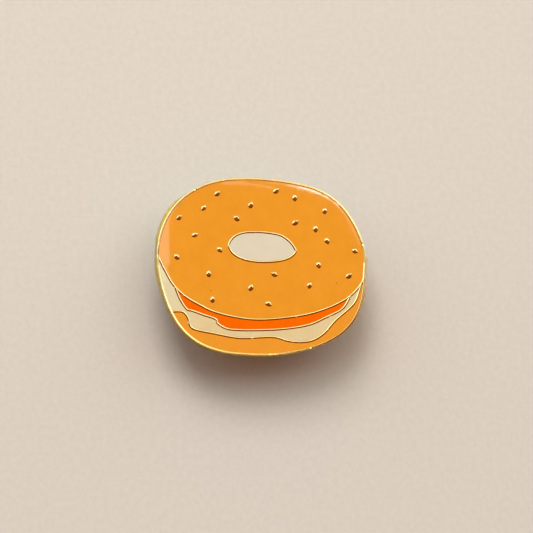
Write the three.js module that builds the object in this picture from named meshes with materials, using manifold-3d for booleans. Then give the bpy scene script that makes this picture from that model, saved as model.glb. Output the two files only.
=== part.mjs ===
// A lapel pin: a bagel filled with salmon and cream cheese, drawn in raised metal lines with enamel
// between them. A gilt plate carries the enamel, and two posts behind it hold rubber clutches.
// Millimetres. X runs across the face, Y up the face and Z out of it. The clutches stand on Z = 0.

import * as THREE from "three";
import { mergeVertices } from "three/addons/utils/BufferGeometryUtils.js";
import Module from "manifold-3d";

const wasm = await Module();
wasm.setup();

// ---- Heights, from the surface that the clutches stand on ----
const CLUTCH_HEIGHT = 7.6;
const PLATE_THICKNESS = 1.5;
const BACK_Z = CLUTCH_HEIGHT;
const RIM_Z = BACK_Z + PLATE_THICKNESS;
const FLOOR_Z = RIM_Z - 0.45; // bottom of the recess that the enamel fills
const LINE_Z = RIM_Z - 0.04; // crest of the raised lines
const ENAMEL_Z = RIM_Z - 0.09; // face of the enamel
const ROOTING = 0.1; // how far lines and seeds reach down into the plate before they are joined to it

// ---- Widths ----
const RIM_HALF = 0.19;
const LINE_HALF = 0.18;
const CREST_SHARE = 0.45; // the flat crest of a line, as a share of its width
const EDGE_ROUND = 0.08; // chamfer on the plate's edges and on the shoulders of rim and lines
const ENAMEL_GAP = 0.02; // between the enamel and the metal walls round it

// ---- The drawing: middles of the raised lines ----
// The rim, anticlockwise from the left side.
const RIM = [
  [-15.61, 0.97], [-15.03, -3.14], [-13.63, -6.99], [-11.94, -9.48], [-9.58, -11.32],
  [-6.31, -12.48], [-2.74, -12.85], [0.84, -12.87], [4.73, -12.37], [8.47, -11.28],
  [11.56, -9.59], [13.52, -7.44], [14.6, -4.93], [15.19, -1.2], [15.23, 2.06],
  [14.77, 4.08], [13.76, 6.42], [12.14, 8.81], [10.24, 10.45], [7.79, 11.65],
  [4.52, 12.39], [0.94, 12.81], [-2.34, 12.9], [-5.47, 12.67], [-8.02, 12.03],
  [-10.42, 10.89], [-12.25, 9.48], [-13.73, 7.73], [-14.75, 5.83], [-15.4, 3.62],
];
// Front edge of the upper half of the bagel, from left to right.
const BUN_EDGE = [
  [-15.57, 1.26], [-14.63, -0.72], [-13.3, -2.96], [-11.71, -4.48], [-9.48, -5.77],
  [-7.21, -6.78], [-1.47, -7.76], [5.48, -7.11], [8.55, -6.31], [11.1, -5.25],
  [12.91, -4.17], [14.35, -2.72], [14.96, -1.72], [15.12, -0.4], [15.2, 0.9],
];
// Lower edge of the salmon.
const SALMON_EDGE = [
  [-13.13, -3.15], [-12.4, -4.98], [-11.35, -6.46], [-10.82, -6.58], [-9.07, -7.17],
  [-7.03, -7.92], [-6.98, -8.3], [-5.67, -9.13], [-3.58, -9.35], [3.14, -9.07],
  [7, -8.34], [9.31, -7.29], [11.48, -6.21], [12.25, -5.45], [12.97, -4.11],
];
// Lower edge of the cream cheese, which hangs over the lower half of the bagel.
const CREAM_EDGE = [
  [-13.89, -6.78], [-12.09, -6.81], [-11.56, -7.23], [-11.18, -7.96], [-11.03, -8.7],
  [-10.66, -9.17], [-7.24, -9.94], [-3.58, -10.51], [1.64, -10.33], [3.57, -10.83],
  [5.51, -10.99], [7.3, -10.68], [8.9, -9.7], [10.69, -7.76], [13.6, -5.09],
  [14.32, -3.39], [14.72, -2.09],
];
// The ring round the hole in the bagel.
const RING = [
  [-5.02, 3.2], [-4.78, 2.33], [-4, 1.58], [-2.6, 1], [-0.64, 0.71], [1.3, 0.76],
  [2.95, 1], [4.2, 1.52], [4.92, 2.3], [4.62, 3.06], [3.8, 3.99], [2.7, 4.65],
  [1, 4.99], [-1.2, 5.09], [-3.05, 4.9], [-4.3, 4.3],
];

// Seeds: x, y and the direction of the pointed end, in degrees from +X.
const SEEDS = [
  [-6.62, 10.67, 45], [2.17, 11.22, 45], [4.92, 10.17, -85], [-8.72, 8.49, -130], [-1.66, 9.07, 75],
  [9.36, 8.33, -90], [-12.38, 7.06, 50], [-3.83, 7.06, 135], [4.95, 6.57, 35], [7.96, 5.65, -90],
  [-10.06, 4.54, 20], [9.65, 3.93, -65], [-6.38, 2.39, -50], [13.81, 2.52, -25], [-12.83, 1.28, 130],
  [-8.09, -1.15, 95], [1.67, -1.07, 155], [8.33, 0.35, -70], [12.85, -1.13, 40], [-1.84, -3.09, 70],
  [6.92, -2.67, -100], [-7.57, -4.92, 90], [0.79, -5.45, -25],
];
const SEED_HALF_LENGTH = 0.53;
const SEED_HALF_WIDTH = 0.39;
const SEED_TAPER = 0.55; // how much the pointed end narrows
const SEED_RISE = 0.15; // crown of a seed above the enamel
const SEED_WALL = 0.05; // height of its upright side above the enamel
const SEED_DOME = { share: 0.6, drop: 0.02 }; // it flattens at this share of its width, just below the crown
const SEED_SIDES = 10;

// The trimming die left a step on three stretches of the outer edge: how far below the rim each one stops,
// and its width by degrees from +X round the middle of the face.
const LEDGES = [
  { below: 0.3, widths: [[27, 0], [31, 0.13], [35, 0.19], [40, 0.16], [44, 0.12], [48, 0]] },
  {
    below: 0.35,
    widths: [
      [136, 0], [140, 0.05], [142, 0.16], [150, 0.24], [155, 0.18], [160, 0.13], [165, 0.12],
      [168, 0.01], [174, 0.02], [178, 0.07], [181, 0.11], [187, 0.12], [191, 0.02], [214, 0],
    ],
  },
  {
    below: 0.4,
    widths: [
      [321, 0], [324, 0.08], [328, 0.15], [332, 0.17], [337, 0.22], [341, 0.31], [346, 0.34],
      [350, 0.29], [354, 0.19], [357, 0.12], [360.5, 0.12], [363, 0.25], [366, 0.31], [367.2, 0],
    ],
  },
];
const LEDGE_ROOT = 0.5; // how far a ledge reaches inwards, under the rim

// ---- Posts and clutches ----
const POST_PLACES = { left: [-7.6, 0.8], right: [7.6, 0.8] };
const POST_RADIUS = 0.55;
const POST_LENGTH = 6.7;
const POST_TIP = { length: 0.9, radius: 0.12 };
const POST_NOTCH = { at: 1.9, depth: 0.1, height: 0.5 }; // the groove that a clutch grips, above the tip
const PAD_RADIUS = 1.6;
const PAD_HEIGHT = 0.3;
const PAD_CHAMFER = 0.15;
const CLUTCH_RADIUS = 3.9;
const CLUTCH_FOOT_ROUND = 0.45;
const CLUTCH_NECK = { height: 0.5, flare: 0.35 }; // the body widens where it meets the flange
const FLANGE_RADIUS = 5.3;
const FLANGE_HEIGHT = 1.7;
const FLANGE_ROUND = 0.35;
const FLANGE_SLOPE = 0.15; // how far its underside rises towards the edge
const BORE_CLEARANCE = 0.03;
const BORE_END_GAP = 0.1; // room below the post's tip
const SEAT_GAP = { side: 0.1, depth: 0.05 }; // room round the solder pad
const ROUND_SIDES = 32;
const POST_SIDES = 16;

// ---- How finely curves are stepped ----
const RIM_STEPS = 112;
const BUN_STEPS = 46;
const SALMON_STEPS = 48;
const CREAM_STEPS = 56;
const RING_STEPS = 56;

// ---- Finishes ----
const gilt = new THREE.MeshStandardMaterial({ color: 0xd9b65c, roughness: 0.28, metalness: 1 });
const dullGilt = new THREE.MeshStandardMaterial({ color: 0xc9a957, roughness: 0.35, metalness: 1 });
const rubber = new THREE.MeshStandardMaterial({ color: 0x1b1b1c, roughness: 0.75, metalness: 0 });
const ENAMELS = [
  { name: "enamel_bun_top", inside: [-4, -2], color: 0xf3982a },
  { name: "enamel_hole", inside: [0, 2.9], color: 0xe2d2b6 },
  { name: "enamel_salmon", inside: [0, -8.5], color: 0xfa6502 },
  { name: "enamel_cream", inside: [-13.2, -5.4], color: 0xe8d4ab },
  { name: "enamel_bun_bottom", inside: [0, -11.6], color: 0xef922d },
];

// ---- Solids from three.js geometry ----
function solidOf(geometry) {
  const bare = new THREE.BufferGeometry();
  bare.setAttribute("position", geometry.getAttribute("position"));
  bare.setIndex(geometry.index);
  const merged = mergeVertices(bare);
  return new wasm.Manifold(
    new wasm.Mesh({
      numProp: 3,
      vertProperties: merged.getAttribute("position").array,
      triVerts: Uint32Array.from(merged.index.array),
    }),
  );
}

function meshOf(solid, name, material) {
  const data = solid.getMesh();
  const geometry = new THREE.BufferGeometry();
  geometry.setAttribute("position", new THREE.BufferAttribute(data.vertProperties, 3));
  geometry.setIndex(new THREE.BufferAttribute(data.triVerts, 1));
  geometry.computeVertexNormals();
  const mesh = new THREE.Mesh(geometry, material);
  mesh.name = name;
  return mesh;
}

// ---- Outlines ----
function smoothCurve(points, closed) {
  const places = points.map(([x, y]) => new THREE.Vector3(x, y, 0));
  return new THREE.CatmullRomCurve3(places, closed, "centripetal");
}

// Points along a closed anticlockwise curve, moved outwards by a distance.
function outline(curve, steps, outwards) {
  const points = [];
  for (let i = 0; i < steps; i += 1) {
    const point = curve.getPointAt(i / steps);
    const along = curve.getTangentAt(i / steps);
    points.push(new THREE.Vector2(point.x + along.y * outwards, point.y - along.x * outwards));
  }
  return points;
}

// A closed outline stood up between two heights, with its edges chamfered at both ends.
function prism(points, low, high, chamfer = 0, hole = null) {
  const shape = new THREE.Shape(points);
  if (hole) {
    shape.holes.push(new THREE.Path(hole));
  }
  const geometry = new THREE.ExtrudeGeometry(shape, {
    depth: high - low - 2 * chamfer,
    bevelEnabled: chamfer > 0,
    bevelThickness: chamfer,
    bevelSize: chamfer,
    bevelOffset: -chamfer,
    bevelSegments: 1,
  });
  return solidOf(geometry.translate(0, 0, low + chamfer));
}

// A strip along an open curve. The section's x axis points down and its y axis to the left of the curve.
function strip(curve, steps, section) {
  const shape = new THREE.Shape(section.map(([z, side]) => new THREE.Vector2(-z, side)));
  return solidOf(new THREE.ExtrudeGeometry(shape, { steps, extrudePath: curve }));
}

// A raised line with a narrow flat crest and sloping shoulders.
function raisedLine(curve, steps) {
  const base = FLOOR_Z - ROOTING;
  const shoulder = LINE_Z - EDGE_ROUND;
  const crest = LINE_HALF * CREST_SHARE;
  return strip(curve, steps, [
    [base, -LINE_HALF], [shoulder, -LINE_HALF], [LINE_Z, -crest],
    [LINE_Z, crest], [shoulder, LINE_HALF], [base, LINE_HALF],
  ]);
}

// The room that a raised line takes out of the enamel.
function lineRoom(curve, steps) {
  const half = LINE_HALF + ENAMEL_GAP;
  const low = FLOOR_Z - ROOTING;
  const high = RIM_Z + ROOTING;
  return strip(curve, steps, [[low, -half], [high, -half], [high, half], [low, half]]);
}

// A seed: a lathed button pulled into a teardrop that points along +X, then turned and set in its place.
function seed([x, y, degrees], profile, spread) {
  const points = profile.map(([radius, z]) => new THREE.Vector2(radius, z));
  const geometry = new THREE.LatheGeometry(points, SEED_SIDES);
  geometry.rotateX(Math.PI / 2);
  const places = geometry.getAttribute("position");
  for (let i = 0; i < places.count; i += 1) {
    const ahead = places.getX(i);
    const narrowing = 1 - SEED_TAPER * Math.max(ahead, 0) ** 2;
    const length = SEED_HALF_LENGTH + spread;
    const width = (SEED_HALF_WIDTH + spread) * narrowing;
    places.setXY(i, ahead * length, places.getY(i) * width);
  }
  geometry.rotateZ(THREE.MathUtils.degToRad(degrees));
  return solidOf(geometry.translate(x, y, 0));
}

// A body of revolution about a vertical axis.
function turned(profile, sides) {
  const points = profile.map(([radius, z]) => new THREE.Vector2(radius, z));
  return solidOf(new THREE.LatheGeometry(points, sides).rotateX(Math.PI / 2));
}

const rimCurve = smoothCurve(RIM, true);
const ringCurve = smoothCurve(RING, true);
const lines = [
  { curve: smoothCurve(BUN_EDGE, false), steps: BUN_STEPS },
  { curve: smoothCurve(SALMON_EDGE, false), steps: SALMON_STEPS },
  { curve: smoothCurve(CREAM_EDGE, false), steps: CREAM_STEPS },
];

// ---- The plate ----
// The width of a step at an angle, between the widths given on either side of it.
function widthAt(widths, angle) {
  const next = widths.findIndex(([degrees]) => degrees > angle);
  const [low, narrow] = widths[next - 1];
  const [high, wide] = widths[next];
  return THREE.MathUtils.mapLinear(angle, low, high, narrow, wide);
}

// A step on the plate's edge: a crescent that is rooted under the rim and stops below its crest.
function ledge({ below, widths }) {
  const [from] = widths[0];
  const [to] = widths[widths.length - 1];
  const roots = outline(rimCurve, RIM_STEPS, RIM_HALF - LEDGE_ROOT);
  const edges = outline(rimCurve, RIM_STEPS, RIM_HALF);
  const stretch = edges.map((edge, i) => {
    const degrees = THREE.MathUtils.radToDeg(edge.angle());
    const angle = degrees + 360 <= to ? degrees + 360 : degrees;
    return { root: roots[i], edge, angle };
  }).filter(({ angle }) => angle > from && angle < to);
  stretch.sort((a, b) => a.angle - b.angle);
  const outer = stretch.map(({ root, edge, angle }) => {
    const outwards = edge.clone().sub(root).setLength(widthAt(widths, angle));
    return edge.clone().add(outwards);
  });
  const inner = stretch.map(({ root }) => root).reverse();
  return prism([...outer, ...inner], BACK_Z, RIM_Z - below);
}

function makePlate() {
  const innerEdge = outline(rimCurve, RIM_STEPS, -RIM_HALF);
  let plate = prism(outline(rimCurve, RIM_STEPS, RIM_HALF), BACK_Z, RIM_Z, EDGE_ROUND);
  LEDGES.forEach((each) => {
    plate = plate.add(ledge(each));
  });
  plate = plate.subtract(prism(innerEdge, FLOOR_Z, RIM_Z + 1));
  lines.forEach(({ curve, steps }) => {
    plate = plate.add(raisedLine(curve, steps));
  });
  const ringOutside = outline(ringCurve, RING_STEPS, LINE_HALF);
  const ringInside = outline(ringCurve, RING_STEPS, -LINE_HALF);
  const ring = prism(ringOutside, FLOOR_Z - ROOTING, LINE_Z, EDGE_ROUND, ringInside);
  plate = plate.add(ring);
  const crown = ENAMEL_Z + SEED_RISE;
  const profile = [
    [0, FLOOR_Z - ROOTING], [1, FLOOR_Z - ROOTING], [1, ENAMEL_Z + SEED_WALL],
    [SEED_DOME.share, crown - SEED_DOME.drop], [0, crown],
  ];
  SEEDS.forEach((place) => {
    plate = plate.add(seed(place, profile, 0));
  });
  return plate;
}

// ---- The enamel ----
function makeEnamels() {
  const fill = prism(outline(rimCurve, RIM_STEPS, -RIM_HALF - ENAMEL_GAP), FLOOR_Z, ENAMEL_Z);
  const low = FLOOR_Z - ROOTING;
  const high = RIM_Z + ROOTING;
  const wide = LINE_HALF + ENAMEL_GAP;
  const ringOutside = outline(ringCurve, RING_STEPS, wide);
  const ringInside = outline(ringCurve, RING_STEPS, -wide);
  let rest = fill.subtract(prism(ringOutside, low, high, 0, ringInside));
  lines.forEach(({ curve, steps }) => {
    rest = rest.subtract(lineRoom(curve, steps));
  });
  SEEDS.forEach((place) => {
    rest = rest.subtract(seed(place, [[0, low], [1, low], [1, high], [0, high]], ENAMEL_GAP));
  });
  return rest.decompose();
}

// The one field of enamel that a thin pin at a place goes through.
function fieldAt(fields, [x, y]) {
  const probe = turned([[0, FLOOR_Z], [LINE_HALF, FLOOR_Z], [LINE_HALF, ENAMEL_Z], [0, ENAMEL_Z]], 6);
  return fields.find((field) => field.intersect(probe.translate([x, y, 0])).volume() > 0);
}

// ---- Posts and clutches ----
const padZ = BACK_Z - PAD_HEIGHT;
const tipZ = padZ - POST_LENGTH;

function makePost() {
  const notch = tipZ + POST_NOTCH.at;
  const waist = POST_RADIUS - POST_NOTCH.depth;
  return turned(
    [
      [0, tipZ], [POST_TIP.radius, tipZ], [POST_RADIUS, tipZ + POST_TIP.length], [POST_RADIUS, notch],
      [waist, notch + POST_NOTCH.depth], [waist, notch + POST_NOTCH.height - POST_NOTCH.depth],
      [POST_RADIUS, notch + POST_NOTCH.height], [POST_RADIUS, padZ], [PAD_RADIUS - PAD_CHAMFER, padZ],
      [PAD_RADIUS, padZ + PAD_CHAMFER], [PAD_RADIUS, BACK_Z], [0, BACK_Z],
    ],
    POST_SIDES,
  );
}

function makeClutch() {
  const bore = POST_RADIUS + BORE_CLEARANCE;
  const boreEnd = tipZ - BORE_END_GAP;
  const seat = padZ - SEAT_GAP.depth;
  const seatRadius = PAD_RADIUS + SEAT_GAP.side;
  const under = CLUTCH_HEIGHT - FLANGE_HEIGHT;
  const flangeInner = FLANGE_RADIUS - FLANGE_ROUND;
  return turned(
    [
      [0, 0], [CLUTCH_RADIUS - CLUTCH_FOOT_ROUND, 0], [CLUTCH_RADIUS, CLUTCH_FOOT_ROUND],
      [CLUTCH_RADIUS, under - CLUTCH_NECK.height], [CLUTCH_RADIUS + CLUTCH_NECK.flare, under],
      [flangeInner, under + FLANGE_SLOPE], [FLANGE_RADIUS, under + FLANGE_SLOPE + FLANGE_ROUND],
      [FLANGE_RADIUS, CLUTCH_HEIGHT - FLANGE_ROUND], [flangeInner, CLUTCH_HEIGHT],
      [seatRadius, CLUTCH_HEIGHT], [seatRadius, seat], [bore, seat], [bore, boreEnd], [0, boreEnd],
    ],
    ROUND_SIDES,
  );
}

// ---- The pin ----
const pin = new THREE.Group();
pin.add(meshOf(makePlate(), "plate", gilt));

const fields = makeEnamels();
ENAMELS.forEach(({ name, inside, color }) => {
  const enamel = new THREE.MeshStandardMaterial({ color, roughness: 0.18, metalness: 0 });
  pin.add(meshOf(fieldAt(fields, inside), name, enamel));
});

Object.entries(POST_PLACES).forEach(([side, [x, y]]) => {
  const post = meshOf(makePost(), `post_${side}`, dullGilt);
  const clutch = meshOf(makeClutch(), `clutch_${side}`, rubber);
  post.position.set(x, y, 0);
  clutch.position.set(x, y, 0);
  pin.add(post, clutch);
});

export default pin;
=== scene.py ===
"""The looks of a bagel-shaped enamel pin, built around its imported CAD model.

Sizes are in millimetres, as in the CAD source, and become metres where a mesh, material, lamp or camera is
made. X runs across the face, Y up the face and Z out of it. The clutches stand on Z = 0.
"""

import math
import random

import bpy
import numpy as np
from mathutils import Matrix, Vector, noise
from mathutils.geometry import delaunay_2d_cdt
from mathutils.kdtree import KDTree


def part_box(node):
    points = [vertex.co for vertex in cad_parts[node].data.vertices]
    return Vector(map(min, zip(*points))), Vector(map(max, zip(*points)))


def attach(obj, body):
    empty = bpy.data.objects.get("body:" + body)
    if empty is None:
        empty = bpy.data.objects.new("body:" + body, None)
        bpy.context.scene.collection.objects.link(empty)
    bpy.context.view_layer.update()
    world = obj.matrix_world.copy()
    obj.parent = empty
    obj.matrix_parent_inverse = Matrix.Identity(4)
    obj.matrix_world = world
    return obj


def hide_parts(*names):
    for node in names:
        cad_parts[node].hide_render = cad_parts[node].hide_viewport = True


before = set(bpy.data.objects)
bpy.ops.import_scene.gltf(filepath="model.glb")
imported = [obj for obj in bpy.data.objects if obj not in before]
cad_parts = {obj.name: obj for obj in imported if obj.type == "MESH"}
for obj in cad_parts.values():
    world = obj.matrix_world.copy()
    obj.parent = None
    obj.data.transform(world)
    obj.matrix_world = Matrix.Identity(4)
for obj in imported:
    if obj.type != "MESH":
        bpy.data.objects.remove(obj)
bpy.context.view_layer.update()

MM = 0.001
BODY = "root"

# ---- Heights ----
PLATE_THICKNESS = 1.5
BACK_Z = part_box("plate")[0].z / MM
RIM_Z = BACK_Z + PLATE_THICKNESS
FLOOR_Z = RIM_Z - 0.45  # bottom of the recess under the enamel
LINE_Z = RIM_Z - 0.04  # crest of the raised lines
ENAMEL_Z = RIM_Z - 0.09  # face of the enamel

# ---- Widths ----
RIM_HALF = 0.19
LINE_HALF = 0.18

# ---- The drawing: middles of the raised lines, as in the CAD source ----
RIM = [
    (-15.61, 0.97), (-15.03, -3.14), (-13.63, -6.99), (-11.94, -9.48), (-9.58, -11.32),
    (-6.31, -12.48), (-2.74, -12.85), (0.84, -12.87), (4.73, -12.37), (8.47, -11.28),
    (11.56, -9.59), (13.52, -7.44), (14.6, -4.93), (15.19, -1.2), (15.23, 2.06),
    (14.77, 4.08), (13.76, 6.42), (12.14, 8.81), (10.24, 10.45), (7.79, 11.65),
    (4.52, 12.39), (0.94, 12.81), (-2.34, 12.9), (-5.47, 12.67), (-8.02, 12.03),
    (-10.42, 10.89), (-12.25, 9.48), (-13.73, 7.73), (-14.75, 5.83), (-15.4, 3.62),
]  # fmt: skip
BUN_EDGE = [
    (-15.57, 1.26), (-14.63, -0.72), (-13.3, -2.96), (-11.71, -4.48), (-9.48, -5.77),
    (-7.21, -6.78), (-1.47, -7.76), (5.48, -7.11), (8.55, -6.31), (11.1, -5.25),
    (12.91, -4.17), (14.35, -2.72), (14.96, -1.72), (15.12, -0.4), (15.2, 0.9),
]  # fmt: skip
SALMON_EDGE = [
    (-13.13, -3.15), (-12.4, -4.98), (-11.35, -6.46), (-10.82, -6.58), (-9.07, -7.17),
    (-7.03, -7.92), (-6.98, -8.3), (-5.67, -9.13), (-3.58, -9.35), (3.14, -9.07),
    (7, -8.34), (9.31, -7.29), (11.48, -6.21), (12.25, -5.45), (12.97, -4.11),
]  # fmt: skip
CREAM_EDGE = [
    (-13.89, -6.78), (-12.09, -6.81), (-11.56, -7.23), (-11.18, -7.96), (-11.03, -8.7),
    (-10.66, -9.17), (-7.24, -9.94), (-3.58, -10.51), (1.64, -10.33), (3.57, -10.83),
    (5.51, -10.99), (7.3, -10.68), (8.9, -9.7), (10.69, -7.76), (13.6, -5.09),
    (14.32, -3.39), (14.72, -2.09),
]  # fmt: skip
RING = [
    (-5.02, 3.2), (-4.78, 2.33), (-4, 1.58), (-2.6, 1), (-0.64, 0.71), (1.3, 0.76),
    (2.95, 1), (4.2, 1.52), (4.92, 2.3), (4.62, 3.06), (3.8, 3.99), (2.7, 4.65),
    (1, 4.99), (-1.2, 5.09), (-3.05, 4.9), (-4.3, 4.3),
]  # fmt: skip

# Seeds: x, y and the direction of the pointed end, in degrees from +X.
SEEDS = [
    (-6.62, 10.67, 45), (2.17, 11.22, 45), (4.92, 10.17, -85), (-8.72, 8.49, -130), (-1.66, 9.07, 75),
    (9.36, 8.33, -90), (-12.38, 7.06, 50), (-3.83, 7.06, 135), (4.95, 6.57, 35), (7.96, 5.65, -90),
    (-10.06, 4.54, 20), (9.65, 3.93, -65), (-6.38, 2.39, -50), (13.81, 2.52, -25), (-12.83, 1.28, 130),
    (-8.09, -1.15, 95), (1.67, -1.07, 155), (8.33, 0.35, -70), (12.85, -1.13, 40), (-1.84, -3.09, 70),
    (6.92, -2.67, -100), (-7.57, -4.92, 90), (0.79, -5.45, -25),
]  # fmt: skip
SEED_HALF_LENGTH = 0.56
SEED_HALF_WIDTH = 0.41
SEED_TAPER = 0.55
SEED_RISE = 0.15
SEED_FLAT = 0.4  # share of a seed that is its flat polished top
SEED_ROOT = 0.03  # how far a seed reaches into the enamel
SEED_SIZES = 0.05  # share by which the seeds' sizes differ
SEED_SHIFT = 0.06  # how far to a side a seed's top can be

# Steps that the trimming die left on the outer edge: how far below the rim each one stops, and its width by
# degrees from +X round the middle of the face.
LEDGES = [
    {"below": 0.3, "widths": [(27, 0), (31, 0.13), (35, 0.19), (40, 0.16), (44, 0.12), (48, 0)]},
    {
        "below": 0.35,
        "widths": [
            (136, 0), (140, 0.05), (142, 0.16), (150, 0.24), (155, 0.18), (160, 0.13), (165, 0.12),
            (168, 0.01), (174, 0.02), (178, 0.07), (181, 0.11), (187, 0.12), (191, 0.02), (214, 0),
        ],
    },
    {
        "below": 0.4,
        "widths": [
            (321, 0), (324, 0.08), (328, 0.15), (332, 0.17), (337, 0.22), (341, 0.31), (346, 0.34),
            (350, 0.29), (354, 0.19), (357, 0.12), (360.5, 0.12), (363, 0.25), (366, 0.31), (367.2, 0),
        ],
    },
]  # fmt: skip

# ---- Posts and clutches, as in the CAD source ----
POST_PLACES = {"left": (-7.6, 0.8), "right": (7.6, 0.8)}
POST_RADIUS = 0.55
POST_LENGTH = 6.7
POST_TIP = {"length": 0.9, "radius": 0.12}
POST_NOTCH = {"at": 1.9, "depth": 0.1, "height": 0.5}
PAD_RADIUS = 1.6
PAD_HEIGHT = 0.3
CLUTCH_RADIUS = 3.9
FLANGE_RADIUS = 5.3
FLANGE_HEIGHT = 1.7
BORE_CLEARANCE = 0.03
BORE_END_GAP = 0.1
SEAT_GAP = {"side": 0.1, "depth": 0.05}  # room round the solder pad

# ---- Small damage and dirt: x, y and size ----
NICKS = {
    "rim": [(0.94, -12.94, 0.1), (-9.9, 11.2, 0.07), (7.1, -11.8, 0.12), (14.9, 3.6, 0.06)],
    "bun": [(4.9, -7.12, 0.1), (-11.9, -4.3, 0.05)],
    "salmon": [(9.9, -7.0, 0.06)],
    "cream": [(-1.78, -10.41, 0.11), (9.6, -8.9, 0.06)],
    "ring": [(-3.9, 1.4, 0.08), (-2.6, 0.85, 0.08), (-1.4, 0.62, 0.07), (4.6, 3.4, 0.06)],
}
SPECKS = [(-7.8, -3.63, 0.12), (10.93, -2.24, 0.14), (-9.2, 6.4, 0.06), (3.4, 8.1, 0.05), (-4.4, -10.0, 0.05)]

chance = random.Random(11)


# ---- Curves ----
def span_points(p0, p1, p2, p3, count):
    """Points from p1 up to p2 on a centripetal Catmull-Rom span."""
    d0, d1, d2 = (math.dist(a, b) ** 0.5 for a, b in ((p0, p1), (p1, p2), (p2, p3)))
    t1 = ((p1 - p0) / d0 - (p2 - p0) / (d0 + d1) + (p2 - p1) / d1) * d1
    t2 = ((p2 - p1) / d1 - (p3 - p1) / (d1 + d2) + (p3 - p2) / d2) * d1
    t = np.linspace(0, 1, count, endpoint=False)[:, None]
    return p1 + t1 * t + (3 * (p2 - p1) - 2 * t1 - t2) * t**2 + (2 * (p1 - p2) + t1 + t2) * t**3


STEP = 0.12  # between points along a line
DENSE = 40  # points on a span before they are set a step apart


def smooth_line(points, closed):
    """Points a step apart along the smooth curve through the given points."""
    p = [np.array(q, float) for q in points]
    if closed:
        p = [p[-1], *p, p[0], p[1]]
    else:
        p = [2 * p[0] - p[1], *p, 2 * p[-1] - p[-2]]
    dense = [span_points(*p[i : i + 4], DENSE) for i in range(len(p) - 3)]
    dense = np.vstack([*dense, p[-2][None]])
    along = np.concatenate([[0], np.cumsum(np.linalg.norm(np.diff(dense, axis=0), axis=1))])
    at = np.linspace(0, along[-1], round(along[-1] / STEP) + 1)
    if closed:
        at = at[:-1]
    return np.column_stack([np.interp(at, along, dense[:, i]) for i in (0, 1)])


def right_sides(line, closed):
    """The unit vectors to the right of a line's direction: outwards on an anticlockwise outline."""
    if closed:
        along = np.roll(line, -1, axis=0) - np.roll(line, 1, axis=0)
    else:
        along = np.gradient(line, axis=0)
    along = along / np.linalg.norm(along, axis=1)[:, None]
    return np.column_stack([along[:, 1], -along[:, 0]])


curves = {
    "rim": {"line": smooth_line(RIM, True), "closed": True, "half": RIM_HALF},
    "ring": {"line": smooth_line(RING, True), "closed": True, "half": LINE_HALF},
}
for drawn, shape, meets in (
    ("bun", BUN_EDGE, ("rim", "rim")),
    ("salmon", SALMON_EDGE, ("bun", "bun")),
    ("cream", CREAM_EDGE, ("rim", "bun")),
):
    curves[drawn] = {
        "line": smooth_line(shape, False),
        "closed": False,
        "half": LINE_HALF,
        "meets": meets,
    }


def wander(x, y, size, salt):
    """Smooth noise over the face, about -1 to 1, with hills of the given size. The salt picks the pattern."""
    return noise.noise(Vector((x / size, y / size, salt)))


def nick_depth(name, x, y):
    """How deep the nicks of a curve have bitten at a place, in millimetres."""
    return sum(size * math.exp(-(((x - nx) ** 2 + (y - ny) ** 2) / size**2)) for nx, ny, size in NICKS[name])


# ---- Meshes ----
def make_piece(name, points, faces, material, replaced=()):
    """A smooth-shaded piece of the pin from points in millimetres."""
    mesh = bpy.data.meshes.new(name)
    mesh.from_pydata([[c * MM for c in p] for p in points], [], faces)
    mesh.materials.append(material)
    mesh.shade_smooth()
    mesh.validate()
    piece = bpy.data.objects.new(name, mesh)
    bpy.context.scene.collection.objects.link(piece)
    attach(piece, BODY)
    if replaced:
        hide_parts(*replaced)
    return piece


def paint(piece, material, chosen):
    """Gives another material to the faces whose middle, in millimetres, and normal are chosen."""
    piece.data.materials.append(material)
    for face in piece.data.polygons:
        if chosen(face.center / MM, face.normal):
            face.material_index = len(piece.data.materials) - 1


def bridge(first, second, count):
    """Quads between two rings of points, given the index of each ring's first point."""
    return [(first + i, first + (i + 1) % count, second + (i + 1) % count, second + i) for i in range(count)]


def loft(rings):
    """Points and faces of a closed body through rings of equal length, capped at both ends."""
    count = len(rings[0])
    points = [p for ring in rings for p in ring]
    faces = []
    for k in range(len(rings) - 1):
        faces += bridge(k * count, (k + 1) * count, count)
    faces.append(tuple(reversed(range(count))))
    faces.append(tuple(range((len(rings) - 1) * count, len(rings) * count)))
    return points, faces


def lathe(profile, sides, x, y):
    """Points and faces of a body of revolution whose profile starts and ends on its axis."""
    rings = []
    for radius, z in profile[1:-1]:
        angles = [2 * math.pi * i / sides for i in range(sides)]
        rings.append([(x + radius * math.cos(a), y + radius * math.sin(a), z) for a in angles])
    points, faces = loft(rings)
    faces = faces[:-2]
    low, high = len(points), len(points) + 1
    points += [(x, y, profile[0][1]), (x, y, profile[-1][1])]
    faces += [(low, (i + 1) % sides, i) for i in range(sides)]
    top = (len(rings) - 1) * sides
    faces += [(high, top + i, top + (i + 1) % sides) for i in range(sides)]
    return points, faces


def rounded(profile, radius, steps):
    """A profile with its inner corners rounded by short arcs, smaller ones beside its short sides."""
    most = 0.45  # of a side
    p = [np.array(q, float) for q in profile]
    out = [tuple(p[0])]
    for before, corner, after in zip(p, p[1:], p[2:]):
        back, on = before - corner, after - corner
        reach = min(radius, most * np.linalg.norm(back), most * np.linalg.norm(on))
        start = corner + back / np.linalg.norm(back) * reach
        end = corner + on / np.linalg.norm(on) * reach
        for i in range(steps + 1):
            t = i / steps
            out.append(tuple((1 - t) ** 2 * start + 2 * t * (1 - t) * corner + t**2 * end))
    out.append(tuple(p[-1]))
    return out


# ---- Materials ----
def new_material(name):
    """A material, its nodes, its shader, and its coordinates in the part's frame."""
    material = bpy.data.materials.new(name)
    material.use_nodes = True
    tree = material.node_tree
    shader = tree.nodes["Principled BSDF"]
    place = tree.nodes.new("ShaderNodeTexCoord")
    return material, tree, shader, place.outputs["Object"]


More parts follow.
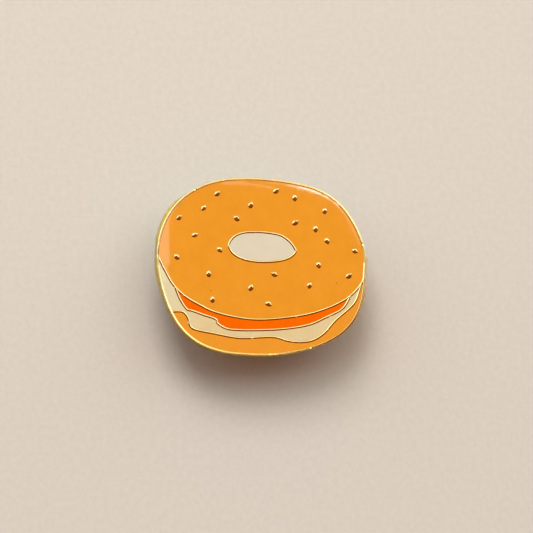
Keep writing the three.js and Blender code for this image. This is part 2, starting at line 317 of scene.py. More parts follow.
def add(tree, kind, settings=None, inputs=None):
    """A node with its settings and its constant or linked inputs."""
    node = tree.nodes.new(kind)
    for key, value in (settings or {}).items():
        setattr(node, key, value)
    for key, value in (inputs or {}).items():
        if isinstance(value, bpy.types.NodeSocket):
            tree.links.new(value, node.inputs[key])
        else:
            node.inputs[key].default_value = value
    return node


def noise_value(tree, place, size_mm, detail=3):
    """Noise from 0 to 1 with features of the given size."""
    node = add(
        tree,
        "ShaderNodeTexNoise",
        inputs={"Vector": place, "Scale": 1 / (size_mm * MM), "Detail": detail, "Roughness": 0.55},
    )
    return node.outputs["Fac"]


def ramp(tree, value, stops):
    """A colour ramp: stops are (position, colour)."""
    node = add(tree, "ShaderNodeValToRGB", inputs={"Fac": value})
    while len(node.color_ramp.elements) < len(stops):
        node.color_ramp.elements.new(0.5)
    for element, (position, colour) in zip(node.color_ramp.elements, stops):
        element.position = position
        element.color = (*colour, 1)
    return node.outputs["Color"]


def remap(tree, value, low, high, to_low, to_high):
    """A value stretched from one range to another, and held inside it."""
    node = add(
        tree,
        "ShaderNodeMapRange",
        inputs={"Value": value, "From Min": low, "From Max": high, "To Min": to_low, "To Max": to_high},
    )
    return node.outputs["Result"]


def mix_colour(tree, share, first, second):
    """A mix of two colours, with the given share of the second."""
    node = add(tree, "ShaderNodeMix", {"data_type": "RGBA"})
    # The node has sockets for every type of value, and these are the ones for colours.
    for key, value in ((0, share), (6, first), (7, second)):
        if isinstance(value, bpy.types.NodeSocket):
            tree.links.new(value, node.inputs[key])
        else:
            node.inputs[key].default_value = value
    return node.outputs[2]


def bump(tree, height, depth_mm, strength):
    """A normal that follows a height of the given depth."""
    sizes = {"Height": height, "Distance": depth_mm * MM, "Strength": strength}
    return add(tree, "ShaderNodeBump", inputs=sizes).outputs["Normal"]


def stretched(tree, place, scale):
    """Coordinates squeezed so that noise on them runs in streaks."""
    return add(tree, "ShaderNodeMapping", inputs={"Vector": place, "Scale": scale}).outputs["Vector"]


def gold_material(name, base, dull, roughness, streaks, grain_mm, low_shade=None):
    """Gold plating with cloudy thin spots, polishing streaks and a fine grain of the given depth.

    Low on the face it turns to another colour, a painted shade: wholly below the first of two heights on
    the face, and not at all above the second.
    """
    material, tree, shader, place = new_material(name)
    cloud = noise_value(tree, place, 0.9)
    colour = ramp(tree, cloud, [(0.32, dull), (0.62, base)])
    # Painted shade: the colour darkens towards the bottom of the face.
    if low_shade:
        whole, none, shade_colour = low_shade
        up_the_face = add(tree, "ShaderNodeSeparateXYZ", inputs={"Vector": place}).outputs["Y"]
        share = remap(tree, up_the_face, whole * MM, none * MM, 1, 0)
        colour = mix_colour(tree, share, colour, (*shade_colour, 1))
    streak = noise_value(tree, stretched(tree, place, streaks), 0.05, detail=2)
    shade = remap(tree, streak, 0.3, 0.7, roughness * 0.75, roughness * 1.35)
    grain = noise_value(tree, place, 0.035, detail=2)
    tree.links.new(colour, shader.inputs["Base Color"])
    tree.links.new(shade, shader.inputs["Roughness"])
    tree.links.new(bump(tree, grain, grain_mm, 0.6), shader.inputs["Normal"])
    shader.inputs["Metallic"].default_value = 1
    return material


def speck_mask(tree, place):
    """1 in the middle of each dirt speck and 0 away from it."""
    total = 0.0
    for x, y, size in SPECKS:
        apart = add(
            tree,
            "ShaderNodeVectorMath",
            {"operation": "DISTANCE"},
            {0: place, 1: (x * MM, y * MM, ENAMEL_Z * MM)},
        ).outputs["Value"]
        mask = remap(tree, apart, size * MM, 0.3 * size * MM, 0, 1)
        total = add(tree, "ShaderNodeMath", {"operation": "MAXIMUM"}, {0: total, 1: mask}).outputs[0]
    return total


LEFT_LIGHT_TINT = (-13, -9)  # where an enamel has all and nothing of its painted light, a paler tint at the left
ENAMEL_IOR = 1.7


def enamel_material(name, colour, deep, left=None):
    """Glossy enamel: slightly cloudy colour, a few specks, and the faint waves of a polished surface."""
    material, tree, shader, place = new_material(name)
    cloud = noise_value(tree, place, 2.4, detail=4)
    tint = ramp(tree, cloud, [(0.3, deep), (0.7, colour)])
    # Painted light: the colour turns paler and greener towards the left.
    if left:
        across = add(tree, "ShaderNodeSeparateXYZ", inputs={"Vector": place}).outputs["X"]
        share = remap(tree, across, LEFT_LIGHT_TINT[0] * MM, LEFT_LIGHT_TINT[1] * MM, 1, 0)
        tint = mix_colour(tree, share, tint, (*left, 1))
    grain = noise_value(tree, place, 0.12, detail=3)
    tint = mix_colour(tree, remap(tree, grain, 0.35, 0.65, 0, 0.1), tint, (*deep, 1))
    dirt = tuple(0.45 * c for c in deep)
    tint = mix_colour(tree, speck_mask(tree, place), tint, (*dirt, 1))
    haze = noise_value(tree, place, 0.5)
    tree.links.new(tint, shader.inputs["Base Color"])
    tree.links.new(remap(tree, haze, 0.3, 0.7, 0.008, 0.016), shader.inputs["Roughness"])
    shader.inputs["IOR"].default_value = ENAMEL_IOR
    return material


def rubber_material():
    """Moulded black rubber with a fine matt grain and a little dust."""
    material, tree, shader, place = new_material("clutch rubber")
    dust = noise_value(tree, place, 0.7, detail=5)
    tree.links.new(
        ramp(tree, dust, [(0.45, (0.012, 0.012, 0.013)), (0.8, (0.035, 0.034, 0.033))]),
        shader.inputs["Base Color"],
    )
    grain = noise_value(tree, place, 0.06, detail=3)
    tree.links.new(remap(tree, grain, 0.3, 0.7, 0.5, 0.75), shader.inputs["Roughness"])
    tree.links.new(bump(tree, grain, 0.01, 0.5), shader.inputs["Normal"])
    return material


# Pairs of colours: clean plating, and its thin spots.
LINE_GOLD = (0.77, 0.71, 0.38), (0.7, 0.61, 0.28)
# The rim's and the seeds' golds are paler than the lines': a painted highlight on the same plating.
RIM_GOLD = (0.79, 0.75, 0.42), (0.74, 0.68, 0.34)
SEED_GOLD = (0.84, 0.79, 0.44), (0.79, 0.73, 0.35)
# The paler gold of the steps on the right is a painted highlight.
STEP_HIGHLIGHT_GOLD = (0.85, 0.7, 0.42), (0.8, 0.64, 0.35)
# The gold of the walls and the back, darker and more olive than the face's, is painted shade.
SHADED_EDGE_GOLD = (0.64, 0.5, 0.12), (0.54, 0.4, 0.06)
POST_GOLD = (0.8, 0.64, 0.32), (0.7, 0.55, 0.28)
# Painted shade: the darker colours that the rim and the edge turn to low on the face.
PAINTED_EDGE_SHADE = (0.42, 0.23, 0.015)
PAINTED_RIM_SHADE = (0.67, 0.57, 0.2)
EVEN = (1, 1, 1)  # streaks that run no way
UPRIGHT = (1, 1, 0.08)  # streaks that run through the plate's thickness
ALONG_POST = (1, 1, 0.1)
# Depths of the grain.
POLISHED = 0.00005
RUBBED = 0.0001
CUT = 0.0006
COARSE = 0.006
face_gold = gold_material("face gold", *LINE_GOLD, 0.045, EVEN, POLISHED)
# The rim and the edge get painted shade low on the face.
rim_gold = gold_material("rim gold", *RIM_GOLD, 0.08, EVEN, RUBBED, (-11, -6, PAINTED_RIM_SHADE))
seed_gold = gold_material("seed gold", *SEED_GOLD, 0.04, EVEN, POLISHED)
step_highlight_gold = gold_material("step gold", *STEP_HIGHLIGHT_GOLD, 0.6, EVEN, CUT)
edge_gold = gold_material("edge gold", *SHADED_EDGE_GOLD, 0.4, UPRIGHT, CUT, (-9, -3, PAINTED_EDGE_SHADE))
back_gold = gold_material("back gold", *SHADED_EDGE_GOLD, 0.42, EVEN, COARSE)
post_gold = gold_material("post gold", *POST_GOLD, 0.32, ALONG_POST, CUT)
rubber = rubber_material()

ENAMELS = {
    "enamel_bun_top": {
        "inside": (-4, -2),
        "slot": "enamel_orange",
        "colour": (0.75, 0.335, 0.03),
        "deep": (0.71, 0.31, 0.024),
    },
    "enamel_hole": {
        "inside": (0, 2.9),
        "slot": "enamel_ivory",
        "colour": (0.66, 0.685, 0.59),
        "deep": (0.63, 0.655, 0.555),
    },
    "enamel_salmon": {
        "inside": (0, -8.5),
        "slot": "enamel_salmon",
        "colour": (0.84, 0.155, 0.001),
        "deep": (0.8, 0.135, 0.001),
    },
    "enamel_cream": {
        "inside": (-13.2, -5.4),
        "slot": "enamel_cream",
        "colour": (0.68, 0.615, 0.37),
        "deep": (0.65, 0.575, 0.335),
        # painted light: paler and greener towards the left
        "left": (0.67, 0.67, 0.46),
    },
    "enamel_bun_bottom": {
        "inside": (0, -11.6),
        "slot": "enamel_orange",
        "colour": (0.76, 0.335, 0.036),
        "deep": (0.72, 0.31, 0.03),
    },
}


# ---- The plate ----
def ledge_at(x, y):
    """Width of the trimming step at a place on the outer edge, if any, and its drop below the rim's crest."""
    angle = math.degrees(math.atan2(y, x)) % 360
    for ledge in LEDGES:
        degrees, widths = zip(*ledge["widths"])
        for turned in (angle, angle + 360):
            if degrees[0] < turned < degrees[-1]:
                return float(np.interp(turned, degrees, widths)), ledge["below"]
    return 0.0, LEDGES[0]["below"]


EDGE_ROUND = 0.1  # radius of the back's edge
STEP_ROUND = 0.05  # radius of a step's edge
BACK_INSET = 1.2  # from the rim's middle inwards to the edge of the back's one large face
CREST_DROP = 0.11  # how far the rim's top falls to its sides
CREST_FLAT = 0.66  # share of the rim's width that is flat
BELOW_STEP = 0.3  # from a step down to the last row of points on the trimmed wall
ABOVE_STEP = 0.02  # from a step up to the first row of points on the struck wall
# How far the trimmed wall, the struck wall above it, the steps between them and all crests wander.
WALL_WAVES = 0.012
UPPER_WAVES = 0.006
STEP_WAVES = 0.02
CREST_WAVES = 0.002
RIM_BITE = 0.6  # share of a nick's depth that the rim's crest shows


def right_angle(steps):
    """Angles from 0 to a right angle."""
    return [math.pi / 2 * k / steps for k in range(steps + 1)]


def ridge(steps):
    """Shares of a ridge's half width, from 1 at its right side to -1 at its left, closest at the sides."""
    return [math.cos(math.pi * k / steps) for k in range(steps + 1)]


def fallen(across, flat):
    """How much of its fall a ridge has reached at a share of its half width, outside its flat crest."""
    return (max(abs(across) - flat, 0) / (1 - flat)) ** 2


# The sides, in degrees from +X, that the polishing wheel has worn the crests down to, and the slopes to them.
RIM_SIDE = 32
LINE_SIDE = 290
LINE_LEAN = 0.04
SEED_LEAN = 0.05
# The rim's slope by the side that the outer edge faces there.
RIM_LEAN = [(0, 0.035), (90, 0.03), (125, 0), (172, 0), (186, 0.06), (300, 0.06), (360, 0.035)]


def sunk(dx, dy, side, slope):
    """How far a crest that leans to a side has sunk at a distance from its middle."""
    return slope * (dx * math.cos(math.radians(side)) + dy * math.sin(math.radians(side)))


def make_plate():
    """The struck plate: flat back, trimmed wall with its steps, rounded rim and recessed floor."""
    line = curves["rim"]["line"]
    out = right_sides(line, True)
    ledges = [ledge_at(*(p + RIM_HALF * o)) for p, o in zip(line, out)]

    def ring(offset, height):
        return [(*(p + o * offset(i)), height(i)) for i, (p, o) in enumerate(zip(line, out))]

    def rough(i, salt, amount):
        """Coarse and fine waves along the edge."""
        x, y = line[i]
        return amount * (wander(x, y, 1.1, salt) + 0.5 * wander(x, y, 0.35, salt + 5))

    def wall(i):
        return RIM_HALF + ledges[i][0] + rough(i, 1.5, WALL_WAVES)

    def upper_wall(i):
        return RIM_HALF + rough(i, 3.5, UPPER_WAVES)

    def step_z(i):
        return RIM_Z - ledges[i][1] + rough(i, 7.5, STEP_WAVES)

    def step_round(i):
        return min(STEP_ROUND, ledges[i][0])

    rings = [ring(lambda i: -BACK_INSET, lambda i: BACK_Z)]
    for a in right_angle(4):
        edge = ring(
            lambda i: wall(i) - EDGE_ROUND * (1 - math.sin(a)),
            lambda i: BACK_Z + EDGE_ROUND * (1 - math.cos(a)),
        )
        rings.append(edge)
    rings.append(ring(wall, lambda i: step_z(i) - BELOW_STEP))
    for a in right_angle(3):
        edge = ring(
            lambda i: max(wall(i) - step_round(i) * (1 - math.cos(a)), upper_wall(i)),
            lambda i: step_z(i) - STEP_ROUND * (1 - math.sin(a)),
        )
        rings.append(edge)
    rings.append(ring(upper_wall, lambda i: step_z(i) + ABOVE_STEP))

    def crest(i, across):
        """Height of the rim's top at a share of its half width."""
        x, y = line[i]
        facing = math.degrees(math.atan2(out[i][1], out[i][0])) % 360
        leaning = sunk(*(out[i] * RIM_HALF * across), RIM_SIDE, np.interp(facing, *zip(*RIM_LEAN)))
        top = RIM_Z - RIM_BITE * nick_depth("rim", x, y) + CREST_WAVES * wander(x, y, 0.8, 9.5)
        return top - CREST_DROP * fallen(across, CREST_FLAT) - leaning

    for across in ridge(16):
        rings.append(ring(lambda i: upper_wall(i) * across, lambda i: crest(i, across)))
    rings.append(ring(lambda i: -RIM_HALF, lambda i: FLOOR_Z))
    points, faces = loft(rings)
    piece = make_piece("pin_plate", points, faces, edge_gold, ["plate"])
    # Faces that look up are steps or the rim's top, which gets its own gold next. Only the steps on the right
    # get the paler step gold, a painted highlight; those on the left keep the edge gold. The margins of the
    # last two take in the crest's outermost faces and the start of the back's rounded edge.
    paint(piece, step_highlight_gold, lambda middle, normal: normal.z > 0.5 and middle.x > 0)
    paint(piece, rim_gold, lambda middle, normal: middle.z > RIM_Z - CREST_DROP - 0.02)
    paint(piece, back_gold, lambda middle, normal: middle.z < BACK_Z + 0.01)


LINE_FALL = LINE_Z - ENAMEL_Z + 0.01  # how far a line's top falls to its sides, just under the enamel
LINE_FLAT = 0.2  # share of a line's width that is flat
LINE_SWELL = 0.06  # share of a line's width that comes and goes
ROOT = 0.05  # how far the lines reach into the plate


def make_line(name):
    """A raised line: a low ridge with a polished crest along a curve, with its own wear and nicks."""
    curve = curves[name]
    line, closed, half = curve["line"], curve["closed"], curve["half"]
    out = right_sides(line, closed)
    crest = ridge(14)
    points = []
    for (x, y), (ox, oy) in zip(line, out):
        width = half * (1 + LINE_SWELL * wander(x, y, 0.7, 2.5))
        top = LINE_Z - nick_depth(name, x, y) + CREST_WAVES * wander(x, y, 1.5, 4.5)
        points.append((x + ox * width, y + oy * width, FLOOR_Z - ROOT))
        for share in crest:
            side = width * share
            z = top - LINE_FALL * fallen(share, LINE_FLAT) - sunk(ox * side, oy * side, LINE_SIDE, LINE_LEAN)
            points.append((x + ox * side, y + oy * side, z))
        points.append((x - ox * width, y - oy * width, FLOOR_Z - ROOT))
    across = len(crest) + 2
    count = len(line)
    faces = []
    for i in range(count if closed else count - 1):
        faces += bridge(i * across, (i + 1) % count * across, across)
    if not closed:
        faces.append(tuple(reversed(range(across))))
        faces.append(tuple(range((count - 1) * across, count * across)))
    make_piece("pin_line_" + name, points, faces, face_gold)


def make_seeds():
    """The 23 domed teardrops as one piece, each in layers from its foot to a small flat top."""
    sides, layers = 32, 12
    top_share = 0.08  # of the foot's size
    points, faces = [], []
    for x, y, degrees in SEEDS:
        size = 1 + SEED_SIZES * chance.uniform(-1, 1)
        aside = chance.uniform(-SEED_SHIFT, SEED_SHIFT)
        first = len(points)
        turn = math.radians(degrees)
        c, s = math.cos(turn), math.sin(turn)
        for k in range(layers + 1):
            share = 1 - k / layers * (1 - top_share)
            height = (SEED_RISE + SEED_ROOT) * (1 - fallen(share, SEED_FLAT))
            for i in range(sides):
                b = 2 * math.pi * i / sides
                ahead, side = math.cos(b), math.sin(b)
                narrow = 1 - SEED_TAPER * max(ahead, 0) ** 2
                u = ahead * SEED_HALF_LENGTH * size * share
                v = side * SEED_HALF_WIDTH * size * share * narrow + aside * (1 - share)
                dx, dy = c * u - s * v, s * u + c * v
                z = ENAMEL_Z - SEED_ROOT + height - sunk(dx, dy, LINE_SIDE, SEED_LEAN)
                points.append((x + dx, y + dy, z))
        for k in range(layers):
            faces += bridge(first + k * sides, first + (k + 1) * sides, sides)
        faces.append(tuple(reversed(range(first, first + sides))))
        top = first + layers * sides
        faces.append(tuple(range(top, top + sides)))
    make_piece("pin_seeds", points, faces, seed_gold)


# ---- The enamel ----
ROLL = 0.16  # how far from a wall the enamel starts to fall
ROLL_DROP = 0.0008
ROLL_ROWS = (0.0, 0.05, 0.1, 0.18, 0.4)  # distances from a wall where the enamel has rows of points
PITCH = 0.45  # between points on the flat of the enamel
FACE_REACH = (16, 13.2)  # of the face from its middle, across and up
ROW_SLACK = 0.02  # how much nearer a row's points may be to another wall than to their own
FLAT_START = ROLL + 0.05  # distance from a wall where the points on the flat start
PAST = 0.03  # how far an end is carried past the line that it meets
SAME_PLACE = 1e-5  # points that are nearer to each other than this become one
ENAMEL_SHARP = 40  # least angle of an edge that stays sharp, in degrees


def joined(line, meets):
    """An open line with each end carried on to just past the nearest point of the line that it meets."""
    ends = []
    for end, other in zip((line[0], line[-1]), meets):
        nearest = other[np.argmin(np.linalg.norm(other - end, axis=1))]
        onward = nearest - end
        ends.append(nearest + onward / np.linalg.norm(onward) * PAST)
    return np.vstack([ends[0], line, ends[1]])


def cut_face():
    """Triangles of the whole face, cut along the middles of the lines, with rows of points near each wall.

    Gives their points, the triangles, the cuts between them, and a function for the distance from a wall.
    """
    # The walls are places on the lines' middles, four to a step, each with how far the wall is from there.
    corners, edges, walls = [], [], []
    for curve in curves.values():
        closed = curve["closed"]
        line = curve["line"]
        if not closed:
            line = joined(line, [curves[name]["line"] for name in curve["meets"]])
        first = len(corners)
        corners += [tuple(p) for p in line]
        edges += [(first + i, first + i + 1) for i in range(len(line) - 1)]
        following = np.roll(line, -1, axis=0)
        if closed:
            edges.append((first + len(line) - 1, first))
        else:
            line, following = line[:-1], line[1:]
        for t in (0, 0.25, 0.5, 0.75):
            walls += [(x, y, curve["half"]) for x, y in line + (following - line) * t]
    tree = KDTree(len(walls))
    for i, (x, y, _) in enumerate(walls):
        tree.insert((x, y, 0), i)
    tree.balance()

    def room(x, y):
        """Distance from the nearest wall, which can be that of the wider rim, though a line is nearer."""
        return min(away - walls[i][2] for _, i, away in tree.find_n((x, y, 0), 3))

    rows = []
    for name, curve in curves.items():
        out = right_sides(curve["line"], curve["closed"])
        # Outside the rim there is no enamel.
        for side in (-1,) if name == "rim" else (-1, 1):
            for away in ROLL_ROWS:
                for x, y in curve["line"] + out * side * (curve["half"] + away):
                    if room(x, y) > away - ROW_SLACK:
                        rows.append((x, y))
    wide, high = (int(reach / PITCH) for reach in FACE_REACH)
    for i in range(-wide, wide + 1):
        for j in range(-high, high + 1):
            x, y = (i + 0.5 * (j % 2)) * PITCH, j * PITCH
            if room(x, y) > FLAT_START:
                rows.append((x, y))
    points = [Vector(p) for p in corners + rows]
    made, links, triangles, _, link_from, _ = delaunay_2d_cdt(points, edges, [], 0, SAME_PLACE)
    # A link that comes from an edge is a cut.
    cuts = {frozenset(link) for link, source in zip(links, link_from) if source}
    return [tuple(p) for p in made], triangles, cuts, room


def sides_of(triangle):
    """The three sides of a triangle, as pairs of its corners."""
    return list(zip(triangle, triangle[1:] + triangle[:1]))


def triangle_at(points, triangles, place):
    """Index of the triangle that a place is in."""
    x, y = place
    for index, triangle in enumerate(triangles):
        signs = []
        for a, b in sides_of(triangle):
            (ax, ay), (bx, by) = points[a], points[b]
            signs.append((bx - ax) * (y - ay) - (by - ay) * (x - ax) >= 0)
        if all(signs):
            return index
    raise ValueError(f"no enamel at {place}")


def field_round(start, triangles, beside, cuts):
    """Indices of the triangles that can be reached from one of them without crossing a cut."""
    field, waiting = {start}, [start]
    while waiting:
        for link in map(frozenset, sides_of(triangles[waiting.pop()])):
            if link in cuts:
                continue
            for other in beside[link]:
                if other not in field:
                    field.add(other)
                    waiting.append(other)
    return field


def make_enamels():
    """The five fields of enamel. Each is one closed body that reaches under the metal lines round it."""
    points, triangles, cuts, room = cut_face()
    beside = {}
    for index, triangle in enumerate(triangles):
        for link in map(frozenset, sides_of(triangle)):
            beside.setdefault(link, []).append(index)
    for name, enamel in ENAMELS.items():
        start = triangle_at(points, triangles, enamel["inside"])
        field = field_round(start, triangles, beside, cuts)
        used = sorted({v for index in field for v in triangles[index]})
        place = {v: k for k, v in enumerate(used)}
        top, bottom = [], []
        for v in used:
            x, y = points[v]
            fall = ROLL_DROP * (1 - min(max(room(x, y), 0) / ROLL, 1)) ** 3
            top.append((x, y, ENAMEL_Z - fall))
            bottom.append((x, y, FLOOR_Z))
        count = len(used)
        faces = []
        for index in sorted(field):
            a, b, c = (place[v] for v in triangles[index])
            faces += [(a, b, c), (count + c, count + b, count + a)]
            for v, w in sides_of(triangles[index]):
                if sum(other in field for other in beside[frozenset((v, w))]) == 1:
                    v, w = place[v], place[w]
                    faces.append((w, v, count + v, count + w))
        tints = (enamel["colour"], enamel["deep"], enamel.get("left"))
        material = enamel_material(name.replace("_", " "), *tints)
        piece = make_piece("pin_" + name, top + bottom, faces, material, [name])
        piece.data.set_sharp_from_angle(angle=math.radians(ENAMEL_SHARP))


# ---- Posts and clutches ----
PAD_Z = BACK_Z - PAD_HEIGHT
TIP_Z = PAD_Z - POST_LENGTH
PAD_BEVEL = 0.15
SOLDER = {"out": 0.02, "down": 0.03}  # the fillet round a post's root
# The clutch's fine forms. The groove in its foot is measured from its middle, and the groove in its shoulder
# and the parting line, which is a bead, upwards from the underside of its flange.
FOOT_GROOVE = {"start": 1.5, "end": 2, "depth": 0.14, "slope": 0.1}
SHOULDER_GROOVE = {"start": -1.3, "end": -0.8, "depth": 0.12, "slope": 0.1}
PARTING_LINE = {"start": 0.8, "end": 0.94, "depth": -0.04, "slope": 0.04}
CLUTCH_SHARP = 50  # least angle of an edge that stays sharp, in degrees


def groove(side, base, start, end, depth, slope):
    """Points of a groove in a body's side between two heights over a base, or of a bead of negative depth."""
    low, high = base + start, base + end
    return [(side, low), (side - depth, low + slope), (side - depth, high - slope), (side, high)]


def make_post(side):
    """A post with its solder pad, pointed and grooved for the clutch."""
    depth = POST_NOTCH["depth"]
    notch = groove(POST_RADIUS, TIP_Z + POST_NOTCH["at"], 0, POST_NOTCH["height"], depth, depth)
    profile = [
        (0, TIP_Z), (POST_TIP["radius"], TIP_Z), (POST_RADIUS, TIP_Z + POST_TIP["length"]), *notch,
        (POST_RADIUS, PAD_Z - SOLDER["down"]), (POST_RADIUS + SOLDER["out"], PAD_Z),
        (PAD_RADIUS - PAD_BEVEL, PAD_Z), (PAD_RADIUS, PAD_Z + PAD_BEVEL), (PAD_RADIUS, BACK_Z), (0, BACK_Z),
    ]  # fmt: skip
    points, faces = lathe(rounded(profile, radius=0.06, steps=2), 40, *POST_PLACES[side])
    name = "post_" + side
    make_piece("pin_" + name, points, faces, post_gold, [name])


def make_clutch(side):
    """A moulded rubber clutch: a foot with a ring groove, a body, and a flange with a parting line."""
    body, flange = CLUTCH_RADIUS, FLANGE_RADIUS
    flange_side = flange + PARTING_LINE["depth"]
    under = BACK_Z - FLANGE_HEIGHT
    bore, bore_end = POST_RADIUS + BORE_CLEARANCE, TIP_Z - BORE_END_GAP
    seat, seat_end = PAD_RADIUS + SEAT_GAP["side"], PAD_Z - SEAT_GAP["depth"]
    foot_groove = [(across, -down) for down, across in groove(0, 0, **FOOT_GROOVE)]
    profile = [
        # the foot
        (0, 0), *foot_groove, (body - 0.1, 0), (body, 0.5),
        # the body, which flares towards the flange
        *groove(body, under, **SHOULDER_GROOVE), (body, under - 0.4), (body + 0.35, under),
        # the flange
        (flange - 0.1, under + 0.1), (flange - 0.02, under + 0.5),
        *groove(flange_side, under, **PARTING_LINE), (flange_side, BACK_Z - 0.4), (flange - 0.35, BACK_Z),
        # the seat round the solder pad, and the bore
        (seat, BACK_Z), (seat, seat_end), (bore, seat_end), (bore, bore_end), (0, bore_end),
    ]  # fmt: skip
    points, faces = lathe(rounded(profile, radius=0.3, steps=4), 96, *POST_PLACES[side])
    name = "clutch_" + side
    piece = make_piece("pin_" + name, points, faces, rubber, [name])
    piece.data.set_sharp_from_angle(angle=math.radians(CLUTCH_SHARP))


make_plate()
for curve_name in ("bun", "salmon", "cream", "ring"):
    make_line(curve_name)
make_seeds()
make_enamels()
for which in POST_PLACES:
    make_post(which)
    make_clutch(which)

# ---- Camera ----
TILT = 15  # off straight down, in degrees
FROM = 212  # the side that the camera leans to, in degrees from +X
AIM = Vector((0.51, 0.04, RIM_Z))
FRAME_WIDTH = 77.56  # what the picture spans at the aim point
DISTANCE = 2000  # from the eye to the aim point
SENSOR = 36
lean = Vector((math.cos(math.radians(FROM)), math.sin(math.radians(FROM)), 0))
towards = lean * math.sin(math.radians(TILT)) + Vector((0, 0, math.cos(math.radians(TILT))))
eye = AIM + towards * DISTANCE


def make_camera():
    """The photo's view: nearly straight down, from far away."""
    data = bpy.data.cameras.new("camera")
    data.sensor_width = SENSOR
    data.lens = SENSOR * DISTANCE / FRAME_WIDTH
    data.clip_start, data.clip_end = 10 * MM, 10 * DISTANCE * MM
    camera = bpy.data.objects.new("camera", data)
    bpy.context.scene.collection.objects.link(camera)
    tilt_axis = Vector((-lean.y, lean.x, 0))
    camera.rotation_euler = Matrix.Rotation(math.radians(TILT), 3, tilt_axis).to_euler()
    camera.location = eye * MM
    bpy.context.scene.camera = camera


# ---- Floor and light ----
GROUND_HALF = 1500
GROUND_DULL = (0.575, 0.605, 0.605)
GROUND_PALE = (0.615, 0.645, 0.645)


def make_floor():
    """A plain pale floor with a hint of paper grain."""
    half = GROUND_HALF * MM
    corners = [(-half, -half, 0), (half, -half, 0), (half, half, 0), (-half, half, 0)]
    mesh = bpy.data.meshes.new("floor")
    mesh.from_pydata(corners, [], [(0, 1, 2, 3)])
    material, tree, shader, place = new_material("floor paper")
    grain = noise_value(tree, place, 0.8, detail=4)
    colour = ramp(tree, grain, [(0.3, GROUND_DULL), (0.7, GROUND_PALE)])
    tree.links.new(colour, shader.inputs["Base Color"])
    shader.inputs["Roughness"].default_value = 0.9
    mesh.materials.append(material)
    floor = bpy.data.objects.new("floor", mesh)
    bpy.context.scene.collection.objects.link(floor)


def mirrored(x, y, height):
    """Where the camera's sight of the flat enamel at a place goes on to, once reflected, at a height."""
    image = Vector((eye.x, eye.y, 2 * ENAMEL_Z - eye.z))
    place = Vector((x, y, ENAMEL_Z))
    return image + (place - image) * ((height - image.z) / (ENAMEL_Z - image.z))


PANEL_HEIGHT = 700  # of all panels over the floor
DAYLIGHT = (1, 0.98, 0.95)
LEFT_DAYLIGHT = (0.9, 1, 0.86)
LAMPLIGHT = (1, 0.85, 0.65)
WARM_DARK = (0.19, 0.042, 0.0025)  # overhead
DARK_SIDE = (0.12, 0.02, 0.001)
OVERHEAD = (0.935, 0.955)  # sines of the elevations where the walls end and the dark overhead starts
# The room round the pin by direction, in degrees from +X: two pale walls with a warmer one between them, and
# darkness on the other side. Its colours are given at half their glow.
ROOM_GLOW = 2
ROOM = [
    (0, DARK_SIDE), (10, (0.42, 0.38, 0.3)), (20, (0.62, 0.62, 0.58)), (56, (0.62, 0.62, 0.58)),
    (72, (0.44, 0.3, 0.14)), (100, (0.44, 0.29, 0.13)), (118, (0.5, 0.4, 0.27)), (130, (0.54, 0.58, 0.55)),
    (178, (0.57, 0.61, 0.58)), (188, DARK_SIDE),
]  # fmt: skip
# "side" is the way from the pin to the fill light, and "share" is how much it lights a level face.
FILL = {"side": (-0.25, 0.6, 0.76), "away": 900, "size": 400, "share": 0.44, "colour": (1, 0.845, 0.783)}


def make_panel(name, start, end, before, after, depth, glow, colour=DAYLIGHT):
    """A soft light panel that looks straight down.

    The flat enamel mirrors its near edge along the line from start to end, two places on the face. The edge
    runs on by the lengths before and after them, and the panel reaches its depth to the left of it.
    """
    start, end = (mirrored(*place, PANEL_HEIGHT) for place in (start, end))
    along = (end - start).normalized()
    aside = Vector((-along.y, along.x, 0))
    width = (end - start).length + before + after
    data = bpy.data.lights.new(name, "AREA")
    data.shape = "RECTANGLE"
    data.size, data.size_y = width * MM, depth * MM
    data.color = colour
    data.energy = math.pi * glow * width * depth * MM * MM
    panel = bpy.data.objects.new(name, data)
    bpy.context.scene.collection.objects.link(panel)
    panel.location = (start + along * (width / 2 - before) + aside * depth / 2) * MM
    panel.rotation_euler = (0, 0, math.atan2(along.y, along.x))


# Large panels at the left and behind the pin: start, end, lengths before and after, depth, glow and colour.
PANELS = {
    "left panel": ((-13.9, 0.1), (-13.9, 6.7), 0, 420, 460, 1.8, LEFT_DAYLIGHT),
    "left panel, lower": ((-14.25, -2.4), (-14.25, 0.1), 0, 0, 460, 1.6, LEFT_DAYLIGHT),
    "back panel": ((-12, 16), (12, 16), 400, 400, 560, 0.9, LAMPLIGHT),
}
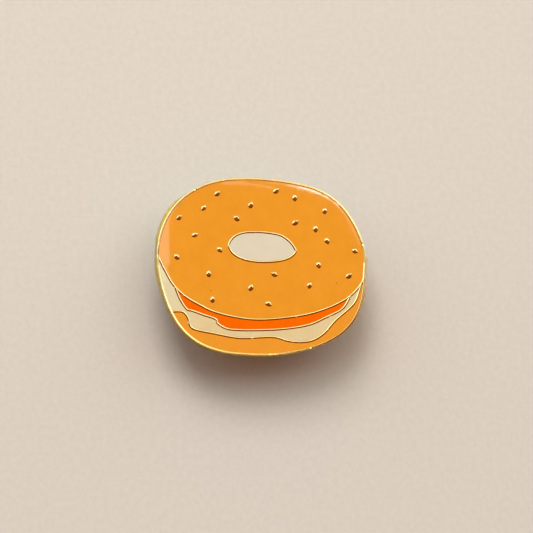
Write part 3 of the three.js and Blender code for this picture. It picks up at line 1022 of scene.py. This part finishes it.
# Narrow panels that are mirrored along the face's top and top right: start, end, depth and glow.
STRIPS = [
    ((-6.0, 12.05), (-2.4, 12.0), 5, 1.2),
    ((-2.4, 12.0), (-0.8, 11.9), 0.4, 1.6),
    ((-0.8, 11.9), (1.6, 11.5), 0.35, 1.6),
    ((-0.2, 12.4), (1.5, 12.2), 0.3, 1.2),
    ((1.5, 12.3), (3.8, 12.05), 5, 1.0),
    ((3.8, 12.05), (5.2, 11.78), 12, 4.5),
    ((5.2, 11.78), (6.9, 11.33), 12, 9),
    ((6.9, 11.33), (8.1, 10.97), 12, 10),
    ((8.1, 10.97), (9.25, 10.68), 12, 11),
    ((9.25, 10.68), (10.45, 10.05), 12, 9),
    ((10.45, 10.05), (11.6, 8.95), 12, 5),
    ((11.6, 8.95), (12.3, 7.8), 5, 2),
    ((12.3, 7.8), (12.95, 6.5), 5, 1.3),
    ((12.95, 6.5), (14.5, 3.3), 5, 0.9),
]


def make_fill():
    """A large soft light that brightens the face and isn't mirrored in it."""
    data = bpy.data.lights.new("fill", "AREA")
    data.size = FILL["size"] * MM
    data.color = FILL["colour"]
    side = Vector(FILL["side"]).normalized()
    data.energy = FILL["share"] * (math.pi * FILL["away"] * MM) ** 2 / side.z
    fill = bpy.data.objects.new("fill", data)
    bpy.context.scene.collection.objects.link(fill)
    fill.location = side * FILL["away"] * MM
    fill.rotation_euler = side.to_track_quat("Z", "Y").to_euler()
    fill.visible_glossy = False


def make_room():
    """The room that the metal and the enamel mirror: its walls by direction, and the dark overhead."""
    world = bpy.data.worlds.new("world")
    world.use_nodes = True
    tree = world.node_tree
    direction = tree.nodes.new("ShaderNodeTexCoord").outputs["Generated"]
    # The gradient runs from -X by way of -Y, so a turned direction makes it run from +X by way of +Y.
    turned = add(tree, "ShaderNodeVectorMath", {"operation": "MULTIPLY"}, {0: direction, 1: (-1, -1, 1)})
    vector = turned.outputs["Vector"]
    round_about = add(tree, "ShaderNodeTexGradient", {"gradient_type": "RADIAL"}, {"Vector": vector})
    walls = ramp(tree, round_about.outputs["Fac"], [(degrees / 360, colour) for degrees, colour in ROOM])
    height = add(tree, "ShaderNodeSeparateXYZ", inputs={"Vector": direction}).outputs["Z"]
    share = remap(tree, height, OVERHEAD[1], OVERHEAD[0], 0, 1)
    colour = mix_colour(tree, share, (*WARM_DARK, 1), walls)
    background = tree.nodes["Background"]
    tree.links.new(colour, background.inputs["Color"])
    background.inputs["Strength"].default_value = ROOM_GLOW
    bpy.context.scene.world = world


make_camera()
make_floor()
make_fill()
for panel_name, measures in PANELS.items():
    make_panel(panel_name, *measures)
for number, (begin, finish, depth, glow) in enumerate(STRIPS):
    make_panel(f"strip {number}", begin, finish, 0, 0, depth, glow)
make_room()
bpy.context.scene.view_settings.view_transform = "Standard"
